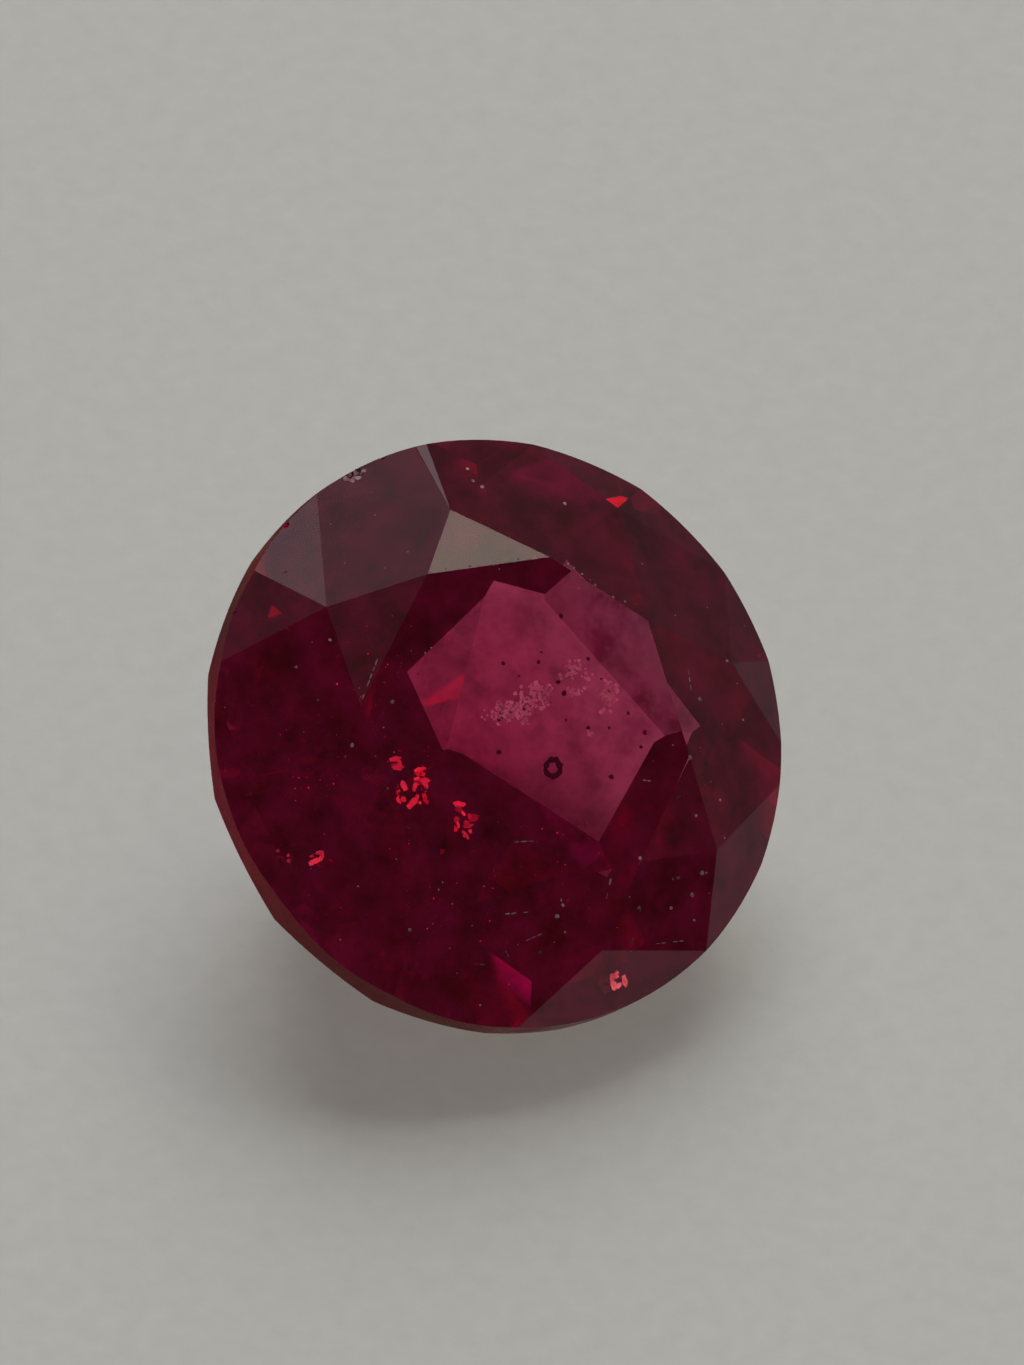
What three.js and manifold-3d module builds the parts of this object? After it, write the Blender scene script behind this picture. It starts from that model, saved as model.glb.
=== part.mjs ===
// A loose round ruby, cut by hand as a brilliant with a bulging pavilion.
// Millimetres, +Z up. The stone lies on one of the facets round its point, with the table leaning towards -Y,
// and the origin is on the surface under the middle of the stone.
import * as THREE from 'three';
import { mergeVertices } from 'three/addons/utils/BufferGeometryUtils.js';
import Module from 'manifold-3d';

// Driving dimensions, in the cutting frame: the stone's axis is Z and the middle of the girdle is near Z = 0
const GIRDLE_RADIUS = 2.5;
const GIRDLE_SIDES = 120;
const GIRDLE_BOTTOM = -0.1;
const TABLE_HEIGHT = 0.7;
const CULET = new THREE.Vector3(-0.12, 0, -2.36);

// Crown, counter-clockwise seen from the table. Azimuths in degrees, lengths in millimetres.
// Each kite runs from a table corner to the girdle, and each star facet from two table corners to a star tip.
const TABLE_CORNERS = [
  { azimuth: 38, radius: 1.42 },
  { azimuth: 79, radius: 1.41 },
  { azimuth: 124, radius: 1.45 },
  { azimuth: 177, radius: 1.44 },
  { azimuth: 220, radius: 1.41 },
  { azimuth: 263, radius: 1.47 },
  { azimuth: 310, radius: 1.53 },
  { azimuth: 350, radius: 1.47 },
];
const STAR_TIPS = [
  { azimuth: 62, radius: 2.14, height: 0.37 },
  { azimuth: 106, radius: 1.87, height: 0.49 },
  { azimuth: 151, radius: 1.9, height: 0.57 },
  { azimuth: 197, radius: 1.84, height: 0.52 },
  { azimuth: 241, radius: 1.91, height: 0.57 },
  { azimuth: 290, radius: 2.01, height: 0.51 },
  { azimuth: 330, radius: 2.01, height: 0.49 },
  { azimuth: 17, radius: 2.04, height: 0.43 },
];
// Where each kite reaches the girdle. Two kites end in a short edge instead of a point.
const KITE_ENDS = [
  { azimuth: 35, halfWidth: 0 },
  { azimuth: 81, halfWidth: 0 },
  { azimuth: 128, halfWidth: 0 },
  { azimuth: 168, halfWidth: 0 },
  { azimuth: 217, halfWidth: 3 },
  { azimuth: 271, halfWidth: 0 },
  { azimuth: 314, halfWidth: 0 },
  { azimuth: 356, halfWidth: 4 },
];
// Where the two upper girdle facets below each star tip part, and how far under the kites that point is
const GIRDLE_PARTINGS = [58, 104, 149, 195, 245, 291, 335, 16];
const PARTING_DROP = 0.06;

// A narrow extra facet runs from one star tip down to the girdle, on the edge of two upper girdle facets
const SLIVER_TIP = 1;
const SLIVER_DEPTH = 0.006;

// Pavilion: shallow facets meet at the culet, steeper ones come down from the girdle to them
const CULET_FACETS = [
  { azimuth: 33, slope: 36 },
  { azimuth: 70, slope: 33.5 },
  { azimuth: 101, slope: 35 },
  { azimuth: 154, slope: 37.5 },
  { azimuth: 207, slope: 33 },
  { azimuth: 239, slope: 36 },
  { azimuth: 290, slope: 34 },
  { azimuth: 350, slope: 32.5 },
];
const LOWER_GIRDLE_FACETS = [
  { azimuth: 35.5, slope: 46 },
  { azimuth: 73, slope: 50 },
  { azimuth: 112.5, slope: 46 },
  { azimuth: 156.5, slope: 51 },
  { azimuth: 206, slope: 53 },
  { azimuth: 258, slope: 46.5 },
  { azimuth: 291, slope: 52 },
  { azimuth: 341, slope: 49 },
];
const BREAK_SLOPE = 55;
// The stone lies on this one of the culet facets, which is ground a little deeper than the others
const RESTING_FACET = 6;
const RESTING_DEPTH = 0.05;

// Chips out of the upper edge of the girdle
const GIRDLE_CHIPS = [
  { azimuth: 119, radius: 0.1 },
  { azimuth: 112, radius: 0.035 },
  { azimuth: 137, radius: 0.04 },
  { azimuth: 158, radius: 0.03 },
];

const RUBY = new THREE.MeshStandardMaterial({ color: 0x6d1c33, roughness: 0.08, metalness: 0 });

const UP = new THREE.Vector3(0, 0, 1);
const DOWN = new THREE.Vector3(0, 0, -1);
const BLOCK_SIZE = 4 * GIRDLE_RADIUS;

const wasm = await Module();
wasm.setup();

// Point at an azimuth, a distance from the axis and a height
function polar(azimuth, radius, height) {
  const angle = THREE.MathUtils.degToRad(azimuth);
  return new THREE.Vector3(radius * Math.cos(angle), radius * Math.sin(angle), height);
}

// Azimuth half way round from one facet to the next
function midAzimuth(from, to) {
  return from + THREE.MathUtils.euclideanModulo(to - from, 360) / 2;
}

// Closed solid from a geometry, with its shared corners merged
function solidFrom(geometry) {
  geometry.deleteAttribute('normal');
  geometry.deleteAttribute('uv');
  const merged = mergeVertices(geometry);
  return new wasm.Manifold(new wasm.Mesh({
    numProp: 3,
    vertProperties: new Float32Array(merged.attributes.position.array),
    triVerts: new Uint32Array(merged.index.array),
  }));
}

// Facet through three points, facing away from the middle of the stone
function facetThrough(a, b, c) {
  const plane = new THREE.Plane().setFromCoplanarPoints(a, b, c);
  if (plane.constant > 0) {
    plane.negate();
  }
  return plane;
}

// Pavilion facet through a point, given where it faces and how steep it is to the girdle
function pavilionFacet(azimuth, slope, point) {
  const tilt = THREE.MathUtils.degToRad(slope);
  const normal = polar(azimuth, Math.sin(tilt), -Math.cos(tilt));
  return new THREE.Plane().setFromNormalAndCoplanarPoint(normal, point);
}

// Point of the girdle where the lowest of some crown facets reaches it
function girdlePoint(azimuth, facets) {
  const point = polar(azimuth, GIRDLE_RADIUS, 0);
  const heights = facets.map(({ normal, constant }) => (
    -(normal.x * point.x + normal.y * point.y + constant) / normal.z
  ));
  return point.setZ(Math.min(...heights));
}

// Grinds one flat facet: everything outside its plane goes
function grind(stone, plane) {
  const waste = new THREE.BoxGeometry(BLOCK_SIZE, BLOCK_SIZE, BLOCK_SIZE);
  waste.translate(0, 0, BLOCK_SIZE / 2);
  waste.applyQuaternion(new THREE.Quaternion().setFromUnitVectors(UP, plane.normal));
  const foot = plane.normal.clone().multiplyScalar(-plane.constant);
  waste.translate(foot.x, foot.y, foot.z);
  return stone.subtract(solidFrom(waste));
}

// Table, kites, stars and upper girdle facets
function crownFacets() {
  const count = TABLE_CORNERS.length;
  const corners = TABLE_CORNERS.map((corner) => polar(corner.azimuth, corner.radius, TABLE_HEIGHT));
  const tips = STAR_TIPS.map((tip) => polar(tip.azimuth, tip.radius, tip.height));
  const kites = corners.map((corner, i) => facetThrough(corner, tips[(i + count - 1) % count], tips[i]));
  const facets = [new THREE.Plane(UP.clone(), -TABLE_HEIGHT), ...kites];
  for (let i = 0; i < count; i += 1) {
    const next = (i + 1) % count;
    const leaving = girdlePoint(KITE_ENDS[i].azimuth + KITE_ENDS[i].halfWidth, [kites[i]]);
    const arriving = girdlePoint(KITE_ENDS[next].azimuth - KITE_ENDS[next].halfWidth, [kites[next]]);
    const parting = girdlePoint(GIRDLE_PARTINGS[i], [kites[i], kites[next]]);
    parting.z -= PARTING_DROP;
    const first = facetThrough(tips[i], leaving, parting);
    const second = facetThrough(tips[i], parting, arriving);
    facets.push(facetThrough(corners[i], corners[next], tips[i]), first, second);
    if (i === SLIVER_TIP) {
      facets.push(sliverFacet(tips[i], parting, first, second));
    }
  }
  return facets;
}

// Facet that takes a little off the edge of two facets, from nothing at the tip to its depth at the girdle
function sliverFacet(tip, foot, first, second) {
  const outward = first.normal.clone().add(second.normal).normalize();
  const across = first.normal.clone().cross(second.normal);
  const sunk = foot.clone().addScaledVector(outward, -SLIVER_DEPTH);
  const side = outward.clone().cross(across);
  return facetThrough(tip, sunk, sunk.clone().add(side));
}

// Facets round the culet, facets down from the girdle, and the short steep ones between those
function pavilionFacets() {
  const round = CULET_FACETS.map((facet) => pavilionFacet(facet.azimuth, facet.slope, CULET));
  round[RESTING_FACET].constant += RESTING_DEPTH;
  const lower = LOWER_GIRDLE_FACETS.map((facet) => pavilionFacet(
    facet.azimuth, facet.slope, polar(facet.azimuth, GIRDLE_RADIUS, GIRDLE_BOTTOM),
  ));
  const breaks = LOWER_GIRDLE_FACETS.map((facet, i) => {
    const next = LOWER_GIRDLE_FACETS[(i + 1) % LOWER_GIRDLE_FACETS.length];
    const azimuth = midAzimuth(facet.azimuth, next.azimuth);
    return pavilionFacet(azimuth, BREAK_SLOPE, polar(azimuth, GIRDLE_RADIUS, GIRDLE_BOTTOM));
  });
  return [...round, ...lower, ...breaks];
}

// Round preform, ground facet by facet, then chipped at the girdle
function cutStone() {
  const depth = TABLE_HEIGHT - CULET.z;
  const preform = new THREE.CylinderGeometry(GIRDLE_RADIUS, GIRDLE_RADIUS, depth, GIRDLE_SIDES);
  preform.rotateX(Math.PI / 2);
  preform.translate(0, 0, (TABLE_HEIGHT + CULET.z) / 2);
  const crown = crownFacets();
  let stone = solidFrom(preform);
  for (const facet of [...crown, ...pavilionFacets()]) {
    stone = grind(stone, facet);
  }
  for (const chip of GIRDLE_CHIPS) {
    const bite = new THREE.IcosahedronGeometry(chip.radius, 0);
    const edge = girdlePoint(chip.azimuth, crown);
    bite.translate(edge.x, edge.y, edge.z);
    stone = stone.subtract(solidFrom(bite));
  }
  const mesh = stone.getMesh();
  const geometry = new THREE.BufferGeometry();
  geometry.setAttribute('position', new THREE.BufferAttribute(mesh.vertProperties, 3));
  geometry.setIndex(new THREE.BufferAttribute(mesh.triVerts, 1));
  return geometry;
}

// Lays the stone down on its resting facet, with the table leaning towards -Y
function layDown(stone) {
  const rest = CULET_FACETS[RESTING_FACET];
  const facing = pavilionFacet(rest.azimuth, rest.slope, CULET).normal;
  const tip = new THREE.Quaternion().setFromUnitVectors(facing, DOWN);
  const axis = UP.clone().applyQuaternion(tip);
  const turn = new THREE.Quaternion().setFromAxisAngle(UP, -Math.PI / 2 - Math.atan2(axis.y, axis.x));
  stone.quaternion.copy(turn.multiply(tip));
  const box = new THREE.Box3().setFromObject(stone, true);
  stone.position.set(-(box.min.x + box.max.x) / 2, -(box.min.y + box.max.y) / 2, -box.min.z);
}

const ruby = new THREE.Mesh(cutStone(), RUBY);
ruby.name = 'ruby';
layDown(ruby);

const part = new THREE.Group();
part.add(ruby);

export default part;
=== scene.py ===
import bpy
import bmesh
import math
import random
from mathutils import Matrix, Vector
from mathutils.bvhtree import BVHTree


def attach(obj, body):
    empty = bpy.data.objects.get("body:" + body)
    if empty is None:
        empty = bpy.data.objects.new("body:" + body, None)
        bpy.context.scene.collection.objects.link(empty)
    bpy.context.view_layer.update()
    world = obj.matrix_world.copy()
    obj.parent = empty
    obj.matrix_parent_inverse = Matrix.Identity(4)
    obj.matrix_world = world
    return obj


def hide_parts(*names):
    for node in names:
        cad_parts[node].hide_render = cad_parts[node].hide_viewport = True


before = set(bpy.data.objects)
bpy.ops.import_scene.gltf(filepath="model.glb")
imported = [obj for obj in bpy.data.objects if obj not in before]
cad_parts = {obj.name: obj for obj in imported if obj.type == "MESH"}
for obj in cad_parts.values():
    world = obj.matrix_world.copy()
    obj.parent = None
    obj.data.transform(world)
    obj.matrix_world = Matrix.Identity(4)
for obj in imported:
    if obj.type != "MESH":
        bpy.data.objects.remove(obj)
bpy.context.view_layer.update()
SCENE = bpy.context.scene
MM = 0.001

# Camera. The image is taken to be 1024 by 1365 pixels
IMAGE_W = 1024
IMAGE_H = 1365
PIXELS_PER_MM = 120.3
SENSOR = 36.0
CLIP_START = 0.01
CLIP_END = 10.0
LIGHT_BOUNCES = 9
CAMERA_DISTANCE = 0.2
CAMERA_RIGHT = Vector((0.87393583, -0.4793451, 0.08040178))
CAMERA_UP = Vector((0.30557056, 0.67050813, 0.67605139))
CAMERA_BACK = Vector((-0.37797196, -0.56625711, 0.73245483))
CAMERA_TARGET = Vector((0.248326, 0.252820, 2.190221)) * MM
EYE = CAMERA_TARGET + CAMERA_BACK * CAMERA_DISTANCE
# Level directions straight ahead of the camera and to its right
AWAY = Vector((-CAMERA_BACK.x, -CAMERA_BACK.y, 0)).normalized()
RIGHTWARD = Vector((AWAY.y, -AWAY.x, 0))

# Lights
WARM = (1.0, 0.96, 0.80)
PALE = (1.0, 0.95, 1.0)
NEAR = 0.4
FAR = 0.5
# Azimuth and elevation of the small light that the fractures in the stone mirror
GLINT = (160, 60)
# Disc lights: name, azimuth from straight ahead to the right, elevation, half angle, radiance, colour,
# distance, whether the facets mirror it, and whether it is seen through the stone
LIGHTS = [
    ("key", 34, 59, 9, 1.4, WARM, NEAR, True, False),
    ("glint", *GLINT, 4, 1.8, WARM, NEAR, False, True),
    ("glow", -149, 50, 2.6, 0.6, (0.9, 0.9, 6.0), NEAR, False, True),
    ("patch_left", -35, 57, 7.5, 0.58, PALE, NEAR, True, False),
    ("patch_mid", -6, 54, 9, 0.28, PALE, NEAR, True, False),
    ("patch_sliver", 4, 42, 4, 0.8, PALE, NEAR, True, False),
    ("patch_side", -88, 62, 12, 0.08, PALE, NEAR, True, False),
    ("patch_over", 118, 77, 8, 0.06, PALE, NEAR, True, False),
    ("broad_back", -8, 47, 24, 2.75, (0.97, 1.0, 1.01), FAR, False, False),
    ("broad_top", 0, 89, 60, 0.37, (1.0, 0.93, 0.88), FAR, False, False),
]

# Room: a backdrop that only the camera sees, a dark room lit on one side, and below the horizon a bench
# that shows only as a mirror image on the facets
BACKDROP = (0.42, 0.425, 0.40, 1)
LIT_SIDE = (45, 20)
LIT_FADE = (0.62, 0.9)
ROOM_DARK = (0.018, 0.017, 0.018)
ROOM_LIT = (0.11, 0.10, 0.10)
BENCH_TOP = -0.07
BENCH_FADE = (0.0, 0.25)
BENCH_LEFT = (0.13, 0.065, 0.05)
BENCH_RIGHT = (0.18, 0.175, 0.18)

# Floor
FLOOR_RADIUS = 12.0 * MM
FLOOR_SIDES = 96
FLOOR_DROP = 0.002 * MM
FLOOR_GRAIN_PER_MM = 5.0
FLOOR_GRAIN_DETAIL = 4.0
FLOOR_FADE = (0.3, 0.7)
FLOOR_DARK = (0.585, 0.59, 0.56)
FLOOR_PALE = (0.615, 0.62, 0.59)
FLOOR_BUMP = 0.25
FLOOR_BUMP_DEPTH = 0.02 * MM
FLOOR_ROUGHNESS = 0.6

# The stone, and where its table faces
TABLE_NORMAL = Vector((0.0, -0.559193, 0.829038))
RUBY_IOR = 1.77
ABSORPTION_COLOUR = (0.90, 0.083, 0.433, 1.0)
ABSORPTION_PER_METRE = 1200.0
# Triangles within this angle of each other are one facet, and points within this distance are one
FLAT_ANGLE = math.radians(0.3)
WELD = 0.002 * MM
# Edges sharper and longer than this are worn, unless they meet an edge that is too short for wear
EDGE_WEAR = 0.007 * MM
WORN_ANGLE = math.radians(5)
WORN_LENGTH = 0.1 * MM
SHORT_LENGTH = 0.05 * MM
# Facet zones from the crown down: least cosine of a facet's angle to the table, roughest polish,
# strongest stain and share of the painted red glow
ZONES = [
    (0.2, 0.04, 0.03, 1.0),  # crown
    (-0.2, 0.5, 0.7, 0.3),  # girdle
    (-0.73, 0.16, 0.97, 0.1),  # lower girdle facets
    (-1.1, 0.05, 0.85, 0.1),  # facets round the culet
]
# Cloudiness of stain, polish and painted glow: the cloud's values from and to, and what they become
CLOUD_PER_MM = 3.2
CLOUD_DETAIL = 5.0
CLOUD_ROUGHNESS = 0.62
STAIN_FADE = (0.36, 0.66, 1.0, 0.55)
CLEAN_COLOUR = (1.0, 1.0, 1.0)
STAIN_COLOUR = (0.05, 0.0, 0.02)
WEAR_FADE = (0.35, 0.7, 0.3, 1.0)
# Painted glow: a weak red emission that stands in for light scattered inside the cloudy stone
PAINTED_GLOW_FADE = (0.34, 0.68, 0.008, 0.039)
PAINTED_GLOW_COLOUR = (1.0, 0.02, 0.24, 1)
# Polishing lines
LINES_TURN = (0.4, 0.2, 0.9)
LINES_PER_MM = (1.5, 18.0, 1.5)
LINES_DETAIL = 2.0
LINES_BUMP = 0.015
LINES_DEPTH = 0.002 * MM

# Marks on and in the stone. Places are pixels of the image, boxes are two corners and a count, sizes
# are millimetres, and depths are shares of the way through the stone. A look is specks per millimetre,
# their fade, two colours, roughness and metal.
SEED = 7
SPECKLE_DETAIL = 2.0
SKIN = 0.01 * MM
UNEVEN = (0.65, 1.15)

# Dark crystals, some of them in a ring
RING_CENTRE = (553, 768)
RING_SIZE = (7.5, 8.5)
RING_GRAINS = 18
RING_DEPTH = 0.35
RING_RADIUS = (0.02, 0.036)
DARK_GRAINS = [
    (611, 777, 0.026), (645, 732, 0.024), (564, 693, 0.024), (503, 663, 0.020), (539, 662, 0.018),
    (561, 616, 0.022), (558, 682, 0.020), (588, 659, 0.018), (601, 679, 0.014), (588, 728, 0.020),
    (628, 713, 0.018), (609, 728, 0.016), (641, 747, 0.016), (499, 752, 0.022), (566, 720, 0.016),
    (535, 695, 0.014), (550, 703, 0.014), (499, 720, 0.018), (541, 652, 0.012), (519, 676, 0.012),
]
GRAIN_DEPTH = (0.15, 0.5)
GRAIN_THICKNESS = 0.012
GRAIN_CORNERS = 7
DARK_LOOK = (30.0, (0.3, 0.7), (0.02, 0.002, 0.005), (0.09, 0.008, 0.02), 0.4, 0.0)

# Small fractures that mirror the glint, seen through the table and through other facets
FLASHES = [
    (394, 757, 400, 772, 6), (397, 780, 406, 802, 8), (408, 778, 426, 804, 16), (416, 768, 424, 790, 9),
    (457, 802, 466, 815, 6), (456, 815, 474, 838, 12), (506, 912, 516, 916, 3),
]
FLASH_DEPTH = (0.55, 0.85)
OUTER_FLASHES = [(283, 852, 290, 862, 3), (308, 850, 322, 864, 5), (610, 974, 626, 990, 9)]
OUTER_DEPTH = (0.55, 0.68)
FLASH_TILT = 0.02
FLASH_TURN = 2
FLASH_RADIUS = (0.014, 0.032)
FLASH_STRETCH = (1.0, 2.6)
FLASH_THICKNESS = 0.004
FLASH_CORNERS = 5
# Veils of finer ones, which look like pale clouds
VEILS = [(330, 600, 450, 780, 70), (400, 820, 600, 960, 90), (252, 700, 330, 850, 50)]
VEIL_DEPTH = (0.6, 0.9)
VEIL_TILT = 0.05
VEIL_RADIUS = (0.004, 0.010)
VEIL_THICKNESS = 0.003
FRACTURE_LOOK = (25.0, (0.3, 0.7), (0.9, 0.3, 0.25), (1.0, 0.6, 0.5), 0.12, 1.0)

# Scratches on the crown, from end to end, broken by gaps
SCRATCHES = [
    (380, 652, 362, 700), (396, 815, 410, 829), (513, 842, 535, 841), (504, 914, 529, 912),
    (525, 941, 548, 931), (458, 963, 492, 965), (611, 878, 606, 900), (494, 946, 504, 949),
    (638, 866, 644, 854), (676, 798, 712, 781), (560, 862, 561, 872), (505, 950, 509, 957),
    (561, 898, 562, 906), (276, 575, 288, 571), (364, 494, 376, 491), (688, 845, 686, 860),
    (633, 937, 630, 953), (688, 668, 691, 691), (655, 944, 690, 940), (643, 780, 651, 781),
]
SCRATCH_STEP = 0.06
SCRATCH_LEAST_STEPS = 2
SCRATCH_GAPS = 0.25
SCRATCH_WIDTH = (0.004, 0.009)
SCRATCH_THICKNESS = 0.003
SCRATCH_CORNERS = 6

# Dust, worn spots along the edge of the table, and a bright broken spot on the girdle's edge
DUST = [
    (639, 908), (671, 908), (692, 895), (702, 873), (694, 920), (673, 879), (696, 816), (763, 836),
    (743, 720), (727, 661), (392, 702), (296, 667), (467, 469), (473, 481), (482, 487), (565, 504),
    (563, 905), (557, 916), (540, 952), (480, 1005), (640, 910), (678, 878), (706, 873), (410, 930),
    (565, 932), (352, 745), (318, 700), (330, 640), (640, 858), (700, 699), (690, 757), (720, 800),
]
WORN_EDGE = [
    (568, 564), (574, 568), (582, 574), (590, 580), (595, 585), (604, 592), (613, 597), (625, 602),
    (636, 604), (643, 616), (430, 572), (446, 569), (470, 566), (492, 563), (518, 559), (536, 557),
]
BROKEN_SPOT = [
    (346, 479), (350, 475), (354, 478), (357, 473), (361, 474), (364, 471), (352, 481), (358, 478),
]
# Places, least and greatest radius, and thickness
SPOTS = [
    (DUST, (0.010, 0.022), 0.008),
    (WORN_EDGE, (0.006, 0.014), 0.006),
    (BROKEN_SPOT, (0.018, 0.036), 0.006),
]
SPOT_CORNERS = 6
# Finer dust anywhere on the crown, within a reach of the stone's middle in the image
LOOSE_DUST = 60
LOOSE_RADIUS = (0.004, 0.010)
LOOSE_THICKNESS = 0.005
LOOSE_CORNERS = 5
STONE_MIDDLE = (496, 735)
STONE_REACH = 275
DUST_LOOK = (8.0, (0.35, 0.65), (0.11, 0.035, 0.05), (0.33, 0.24, 0.25), 0.8, 0.0)

# Pale smears on the table
SMEARS = [
    (480, 700, 537, 725, 110), (512, 684, 555, 712, 60), (524, 683, 554, 697, 24),
    (556, 658, 593, 682, 42), (565, 683, 587, 696, 10), (598, 676, 620, 714, 45),
    (585, 730, 595, 740, 4),
]
SMEAR_RADIUS = (0.010, 0.026)
SMEAR_THICKNESS = 0.002
SMEAR_CORNERS = 5
SMEAR_LOOK = (12.0, (0.35, 0.65), (0.52, 0.05, 0.13), (0.80, 0.10, 0.22), 0.7, 0.0)


def show(name, data):
    obj = bpy.data.objects.new(name, data)
    SCENE.collection.objects.link(obj)
    return obj


def direction(azimuth, elevation):
    a = math.radians(azimuth)
    e = math.radians(elevation)
    flat = AWAY * math.cos(a) + RIGHTWARD * math.sin(a)
    return flat * math.cos(e) + Vector((0, 0, math.sin(e)))


# Shader nodes
def material_of(name):
    material = bpy.data.materials.new(name)
    material.use_nodes = True
    tree = material.node_tree
    return material, tree, tree.nodes["Principled BSDF"]


def add(tree, kind, **values):
    node = tree.nodes.new(kind)
    for key, value in values.items():
        if hasattr(node, key):
            setattr(node, key, value)
        else:
            node.inputs[key.replace("_", " ")].default_value = value
    return node


def link(tree, source, target):
    tree.links.new(source, target)


def in_millimetres(tree):
    where = add(tree, "ShaderNodeTexCoord")
    scaled = add(tree, "ShaderNodeMapping")
    scaled.inputs["Scale"].default_value = (1 / MM, 1 / MM, 1 / MM)
    link(tree, where.outputs["Object"], scaled.inputs["Vector"])
    return scaled.outputs["Vector"]


def noise(tree, vector, scale, detail, roughness=0.5):
    made = add(tree, "ShaderNodeTexNoise", Scale=scale, Detail=detail, Roughness=roughness)
    link(tree, vector, made.inputs["Vector"])
    return made.outputs["Fac"]


def spread(tree, value, low, high, to_low, to_high):
    made = add(tree, "ShaderNodeMapRange", From_Min=low, From_Max=high, To_Min=to_low, To_Max=to_high)
    link(tree, value, made.inputs["Value"])
    return made.outputs["Result"]


def colours(tree, value, fade, first, second):
    made = add(tree, "ShaderNodeValToRGB")
    for element, position, colour in zip(made.color_ramp.elements, fade, (first, second)):
        element.position = position
        element.color = (*colour, 1)
    link(tree, value, made.inputs["Fac"])
    return made.outputs["Color"]


def bump(tree, height, strength, depth):
    made = add(tree, "ShaderNodeBump", Strength=strength, Distance=depth)
    link(tree, height, made.inputs["Height"])
    return made.outputs["Normal"]


def attribute(tree, name):
    return add(tree, "ShaderNodeAttribute", attribute_name=name).outputs["Fac"]


def times(tree, first, second):
    made = add(tree, "ShaderNodeMath", operation="MULTIPLY")
    link(tree, first, made.inputs[0])
    link(tree, second, made.inputs[1])
    return made.outputs["Value"]


def share_along(tree, vector, way):
    made = add(tree, "ShaderNodeVectorMath", operation="DOT_PRODUCT")
    made.inputs[1].default_value = way
    link(tree, vector, made.inputs[0])
    return made.outputs["Value"]


def background(tree, colour):
    made = add(tree, "ShaderNodeBackground")
    link(tree, colour, made.inputs["Color"])
    return made.outputs["Background"]


def mixed(tree, share, first, second):
    made = add(tree, "ShaderNodeMixShader")
    link(tree, share, made.inputs["Fac"])
    link(tree, first, made.inputs[1])
    link(tree, second, made.inputs[2])
    return made.outputs["Shader"]


# Camera
camera_data = bpy.data.cameras.new("camera")
camera_data.sensor_width = SENSOR
camera_data.lens = SENSOR * CAMERA_DISTANCE / (IMAGE_H / PIXELS_PER_MM * MM)
camera_data.clip_start = CLIP_START
camera_data.clip_end = CLIP_END
camera = show("camera", camera_data)
axes = Matrix((CAMERA_RIGHT, CAMERA_UP, CAMERA_BACK)).transposed().to_4x4()
camera.matrix_world = Matrix.Translation(EYE) @ axes
SCENE.camera = camera
SCENE.view_settings.view_transform = "Standard"
SCENE.cycles.max_bounces = LIGHT_BOUNCES
SCENE.cycles.transmission_bounces = LIGHT_BOUNCES


# Lights
def softbox(name, azimuth, elevation, half_angle, radiance, colour, distance, mirrored, seen_through):
    light = bpy.data.lights.new(name, "AREA")
    light.shape = "DISK"
    radius = distance * math.tan(math.radians(half_angle))
    light.size = 2 * radius
    light.energy = radiance * math.pi * math.pi * radius * radius
    light.color = colour
    obj = show(name, light)
    way = direction(azimuth, elevation)
    obj.location = way * distance
    obj.rotation_mode = "QUATERNION"
    obj.rotation_quaternion = way.to_track_quat("Z", "Y")
    obj.visible_camera = False
    obj.visible_glossy = mirrored
    obj.visible_transmission = seen_through
    return obj


lights = {row[0]: softbox(*row) for row in LIGHTS}

# Room
world = bpy.data.worlds.new("room")
SCENE.world = world
world.use_nodes = True
tree = world.node_tree
backdrop = tree.nodes["Background"]
backdrop.inputs["Color"].default_value = BACKDROP
way = add(tree, "ShaderNodeTexCoord").outputs["Generated"]
path = add(tree, "ShaderNodeLightPath")
lit = share_along(tree, way, direction(*LIT_SIDE))
room = background(tree, colours(tree, lit, LIT_FADE, ROOM_DARK, ROOM_LIT))
side = share_along(tree, way, RIGHTWARD)
bench = background(tree, colours(tree, side, BENCH_FADE, BENCH_LEFT, BENCH_RIGHT))
height = add(tree, "ShaderNodeSeparateXYZ")
link(tree, way, height.inputs["Vector"])
low = add(tree, "ShaderNodeMath", operation="LESS_THAN")
low.inputs[1].default_value = BENCH_TOP
link(tree, height.outputs["Z"], low.inputs[0])
beside = times(tree, low.outputs["Value"], path.outputs["Is Reflection Ray"])
around = mixed(tree, beside, room, bench)
shown = mixed(tree, path.outputs["Is Camera Ray"], around, backdrop.outputs["Background"])
link(tree, shown, tree.nodes["World Output"].inputs["Surface"])

# Floor, which the facets don't mirror
floor_mesh = bpy.data.meshes.new("floor")
rim = [math.tau * i / FLOOR_SIDES for i in range(FLOOR_SIDES)]
points = [(FLOOR_RADIUS * math.cos(t), FLOOR_RADIUS * math.sin(t), 0) for t in rim]
floor_mesh.from_pydata(points, [], [list(range(FLOOR_SIDES))])
floor = show("floor", floor_mesh)
floor.location.z = -FLOOR_DROP
floor.visible_glossy = False
mat, tree, shader = material_of("floor")
grain = noise(tree, in_millimetres(tree), FLOOR_GRAIN_PER_MM, FLOOR_GRAIN_DETAIL)
link(tree, colours(tree, grain, FLOOR_FADE, FLOOR_DARK, FLOOR_PALE), shader.inputs["Base Color"])
link(tree, bump(tree, grain, FLOOR_BUMP, FLOOR_BUMP_DEPTH), shader.inputs["Normal"])
shader.inputs["Roughness"].default_value = FLOOR_ROUGHNESS
floor_mesh.materials.append(mat)


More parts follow.
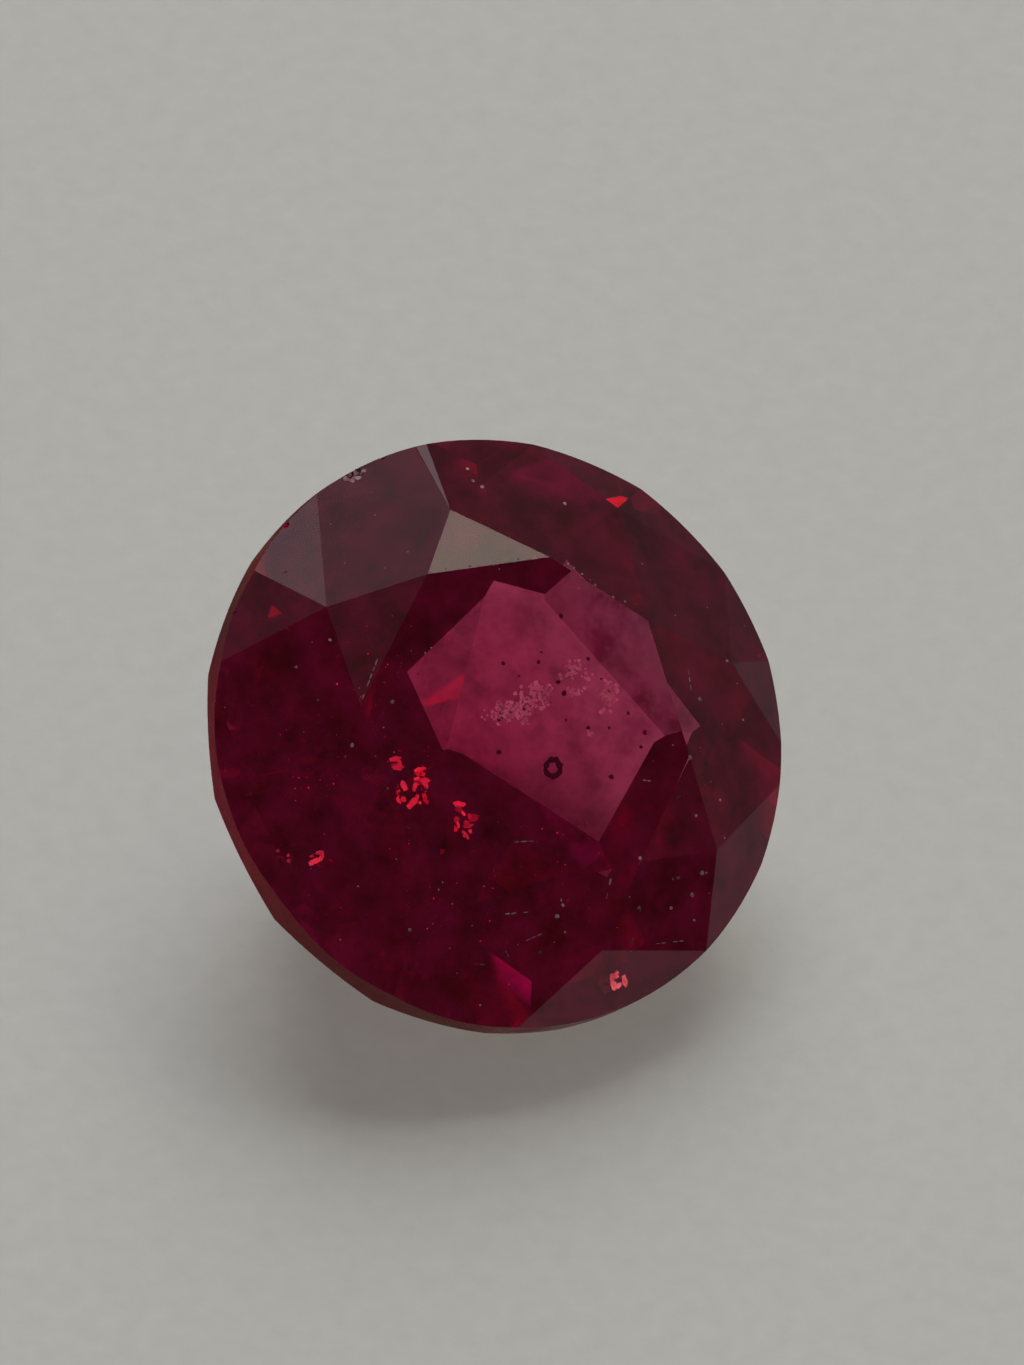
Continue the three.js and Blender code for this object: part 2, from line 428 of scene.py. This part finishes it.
# The stone: the solid's facets with finely worn edges
def ruby_material():
    mat, tree, shader = material_of("ruby")
    shader.inputs["IOR"].default_value = RUBY_IOR
    shader.inputs["Transmission Weight"].default_value = 1.0
    absorb = add(tree, "ShaderNodeVolumeAbsorption", Density=ABSORPTION_PER_METRE)
    absorb.inputs["Color"].default_value = ABSORPTION_COLOUR
    link(tree, absorb.outputs["Volume"], tree.nodes["Material Output"].inputs["Volume"])
    at = in_millimetres(tree)
    cloud = noise(tree, at, CLOUD_PER_MM, CLOUD_DETAIL, CLOUD_ROUGHNESS)
    stained = times(tree, spread(tree, cloud, *STAIN_FADE), attribute(tree, "stain"))
    tint = colours(tree, stained, (0.0, 1.0), CLEAN_COLOUR, STAIN_COLOUR)
    link(tree, tint, shader.inputs["Base Color"])
    worn = times(tree, spread(tree, cloud, *WEAR_FADE), attribute(tree, "wear"))
    link(tree, worn, shader.inputs["Roughness"])
    # Painted red glow: emission in the cloud's pattern stands in for light scattered inside the stone
    shader.inputs["Emission Color"].default_value = PAINTED_GLOW_COLOUR
    painted_glow_strength = times(tree, spread(tree, cloud, *PAINTED_GLOW_FADE), attribute(tree, "painted_glow"))
    link(tree, painted_glow_strength, shader.inputs["Emission Strength"])
    lines = add(tree, "ShaderNodeMapping")
    lines.inputs["Rotation"].default_value = LINES_TURN
    lines.inputs["Scale"].default_value = LINES_PER_MM
    link(tree, at, lines.inputs["Vector"])
    polish = noise(tree, lines.outputs["Vector"], 1.0, LINES_DETAIL)
    link(tree, bump(tree, polish, LINES_BUMP, LINES_DEPTH), shader.inputs["Normal"])
    mat.cycles.emission_sampling = "NONE"
    return mat


bm = bmesh.new()
bm.from_mesh(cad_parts["ruby"].data)
bmesh.ops.remove_doubles(bm, verts=bm.verts, dist=WELD)
bmesh.ops.dissolve_degenerate(bm, dist=WELD, edges=bm.edges)
bmesh.ops.dissolve_limit(bm, angle_limit=FLAT_ANGLE, verts=bm.verts, edges=bm.edges)
tight = {v for e in bm.edges if e.calc_length() < SHORT_LENGTH for v in e.verts}
edges = [
    e for e in bm.edges
    if e.calc_face_angle() > WORN_ANGLE
    and e.calc_length() > WORN_LENGTH
    and not tight.intersection(e.verts)
]
bmesh.ops.bevel(
    bm, geom=edges, offset=EDGE_WEAR, segments=1, profile=0.5, affect="EDGES", clamp_overlap=True,
)
bm.normal_update()
mesh = bpy.data.meshes.new("ruby_stone")
bm.to_mesh(mesh)
bm.free()
mesh.attributes.remove(mesh.attributes["custom_normal"])
mesh.shade_flat()
stone = show("ruby_stone", mesh)
mesh.materials.append(ruby_material())
zones = [next(z for z in ZONES if face.normal.dot(TABLE_NORMAL) >= z[0]) for face in mesh.polygons]
# Facet attributes for wear, stain and the share of the painted red glow
for column, name in enumerate(("wear", "stain", "painted_glow"), start=1):
    values = mesh.attributes.new(name, "FLOAT", "FACE")
    for i, zone in enumerate(zones):
        values.data[i].value = zone[column]
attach(stone, "root")
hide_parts("ruby")

# The broad light from above comes through the stone to the floor
through = bpy.data.collections.new("let_through")
through.objects.link(stone)
through.collection_objects[0].light_linking.link_state = "EXCLUDE"
lights["broad_top"].light_linking.blocker_collection = through

# Marks on and in the stone
surface = BVHTree.FromPolygons([v.co for v in mesh.vertices], [p.vertices for p in mesh.polygons])
rng = random.Random(SEED)


# View ray through a pixel, and the point and facet normal where it meets the stone
def on_stone(x, y):
    across = (x - IMAGE_W / 2) / PIXELS_PER_MM * MM
    up = (IMAGE_H / 2 - y) / PIXELS_PER_MM * MM
    ray = (CAMERA_TARGET + CAMERA_RIGHT * across + CAMERA_UP * up - EYE).normalized()
    point, normal, _, _ = surface.ray_cast(EYE, ray)
    return ray, point, normal


# Direction of a ray after it is refracted into the stone
def bent(ray, normal):
    share = 1 / RUBY_IOR
    cosine = -ray.dot(normal)
    inner = math.sqrt(1 - share * share * (1 - cosine * cosine))
    return (ray * share + normal * (share * cosine - inner)).normalized()


# Point inside the stone that is seen at a pixel, the ray that sees it, and the facet it is seen through
def below(x, y, depth):
    ray, point, normal = on_stone(x, y)
    ray = bent(ray, normal)
    far, _, _, _ = surface.ray_cast(point + ray * SKIN, ray)
    return point.lerp(far, depth), ray, normal


# Direction inside the stone that leads out through a facet to the glint
def to_glint(normal):
    return -bent(-direction(*GLINT), normal)


# Direction of a mirror, a little off at random
def tilted(way, most):
    shake = Vector([rng.uniform(-most, most) for _ in range(3)])
    return (way.normalized() + shake).normalized()


# Uneven flat flake
def plate(bm, centre, normal, radius, thickness, corners, along=None, stretch=1.0):
    first = along if along is not None else normal.orthogonal()
    first = (first - normal * first.dot(normal)).normalized()
    second = normal.cross(first)
    turn = rng.uniform(0, math.tau) if along is None else 0
    reaches = []
    for i in range(corners):
        angle = turn + math.tau * i / corners
        reach = first * (math.cos(angle) * stretch) + second * math.sin(angle)
        reaches.append(reach * (radius * MM * rng.uniform(*UNEVEN)))
    half = normal * (thickness * MM / 2)
    low = [bm.verts.new(centre + r - half) for r in reaches]
    high = [bm.verts.new(centre + r + half) for r in reaches]
    bm.faces.new(reversed(low))
    bm.faces.new(high)
    for i in range(corners):
        j = (i + 1) % corners
        bm.faces.new((low[i], low[j], high[j], high[i]))


def speckled(name, per_mm, fade, first, second, roughness, metallic):
    mat, tree, shader = material_of(name)
    grain = noise(tree, in_millimetres(tree), per_mm, SPECKLE_DETAIL)
    link(tree, colours(tree, grain, fade, first, second), shader.inputs["Base Color"])
    shader.inputs["Roughness"].default_value = roughness
    shader.inputs["Metallic"].default_value = metallic
    return mat


def piece(name, bm, material):
    bmesh.ops.recalc_face_normals(bm, faces=bm.faces)
    data = bpy.data.meshes.new(name)
    bm.to_mesh(data)
    bm.free()
    data.materials.append(material)
    obj = show(name, data)
    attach(obj, "root")


# Dark crystals
dark = bmesh.new()
for i in range(RING_GRAINS):
    angle = math.tau * i / RING_GRAINS
    x = RING_CENTRE[0] + RING_SIZE[0] * math.cos(angle)
    y = RING_CENTRE[1] + RING_SIZE[1] * math.sin(angle)
    spot, ray, _ = below(x, y, RING_DEPTH)
    plate(dark, spot, ray, rng.uniform(*RING_RADIUS), GRAIN_THICKNESS, GRAIN_CORNERS)
for x, y, size in DARK_GRAINS:
    spot, ray, _ = below(x, y, rng.uniform(*GRAIN_DEPTH))
    plate(dark, spot, ray, size, GRAIN_THICKNESS, GRAIN_CORNERS)
piece("inclusions_dark", dark, speckled("dark_crystal", *DARK_LOOK))

# Fractures
cracks = bmesh.new()
for boxes, depths in ((FLASHES, FLASH_DEPTH), (OUTER_FLASHES, OUTER_DEPTH)):
    for x0, y0, x1, y1, count in boxes:
        for _ in range(count):
            spot, ray, normal = below(rng.uniform(x0, x1), rng.uniform(y0, y1), rng.uniform(*depths))
            facing = tilted(to_glint(normal) - ray, FLASH_TILT)
            side = facing.orthogonal()
            along = side + facing.cross(side) * rng.uniform(-FLASH_TURN, FLASH_TURN)
            radius = rng.uniform(*FLASH_RADIUS)
            stretch = rng.uniform(*FLASH_STRETCH)
            plate(cracks, spot, facing, radius, FLASH_THICKNESS, FLASH_CORNERS, along, stretch)
for x0, y0, x1, y1, count in VEILS:
    for _ in range(count):
        spot, ray, _ = below(rng.uniform(x0, x1), rng.uniform(y0, y1), rng.uniform(*VEIL_DEPTH))
        facing = tilted(to_glint(TABLE_NORMAL) - ray, VEIL_TILT)
        plate(cracks, spot, facing, rng.uniform(*VEIL_RADIUS), VEIL_THICKNESS, FLASH_CORNERS)
piece("inclusions_fractures", cracks, speckled("fracture", *FRACTURE_LOOK))

# Scratches, dust and smears
dust = bmesh.new()
for x0, y0, x1, y1 in SCRATCHES:
    _, start, normal = on_stone(x0, y0)
    _, end, _ = on_stone(x1, y1)
    length = (end - start).length
    parts = max(SCRATCH_LEAST_STEPS, round(length / (SCRATCH_STEP * MM)))
    for i in range(parts):
        if rng.random() < SCRATCH_GAPS:
            continue
        centre = start.lerp(end, (i + 0.5) / parts)
        width = rng.uniform(*SCRATCH_WIDTH)
        stretch = 0.5 * length / parts / (width * MM)
        plate(dust, centre, normal, width, SCRATCH_THICKNESS, SCRATCH_CORNERS, end - start, stretch)
for places, radii, thickness in SPOTS:
    for x, y in places:
        _, point, normal = on_stone(x, y)
        plate(dust, point, normal, rng.uniform(*radii), thickness, SPOT_CORNERS)
placed = 0
while placed < LOOSE_DUST:
    angle = rng.uniform(0, math.tau)
    reach = STONE_REACH * math.sqrt(rng.random())
    x = STONE_MIDDLE[0] + reach * math.cos(angle)
    y = STONE_MIDDLE[1] + reach * math.sin(angle)
    _, point, normal = on_stone(x, y)
    if point is None:
        continue
    plate(dust, point, normal, rng.uniform(*LOOSE_RADIUS), LOOSE_THICKNESS, LOOSE_CORNERS)
    placed += 1
smear = bmesh.new()
for x0, y0, x1, y1, count in SMEARS:
    for _ in range(count):
        _, point, normal = on_stone(rng.triangular(x0, x1), rng.triangular(y0, y1))
        plate(smear, point, normal, rng.uniform(*SMEAR_RADIUS), SMEAR_THICKNESS, SMEAR_CORNERS)
piece("surface_smear", smear, speckled("smear", *SMEAR_LOOK))
piece("surface_dust", dust, speckled("dust", *DUST_LOOK))
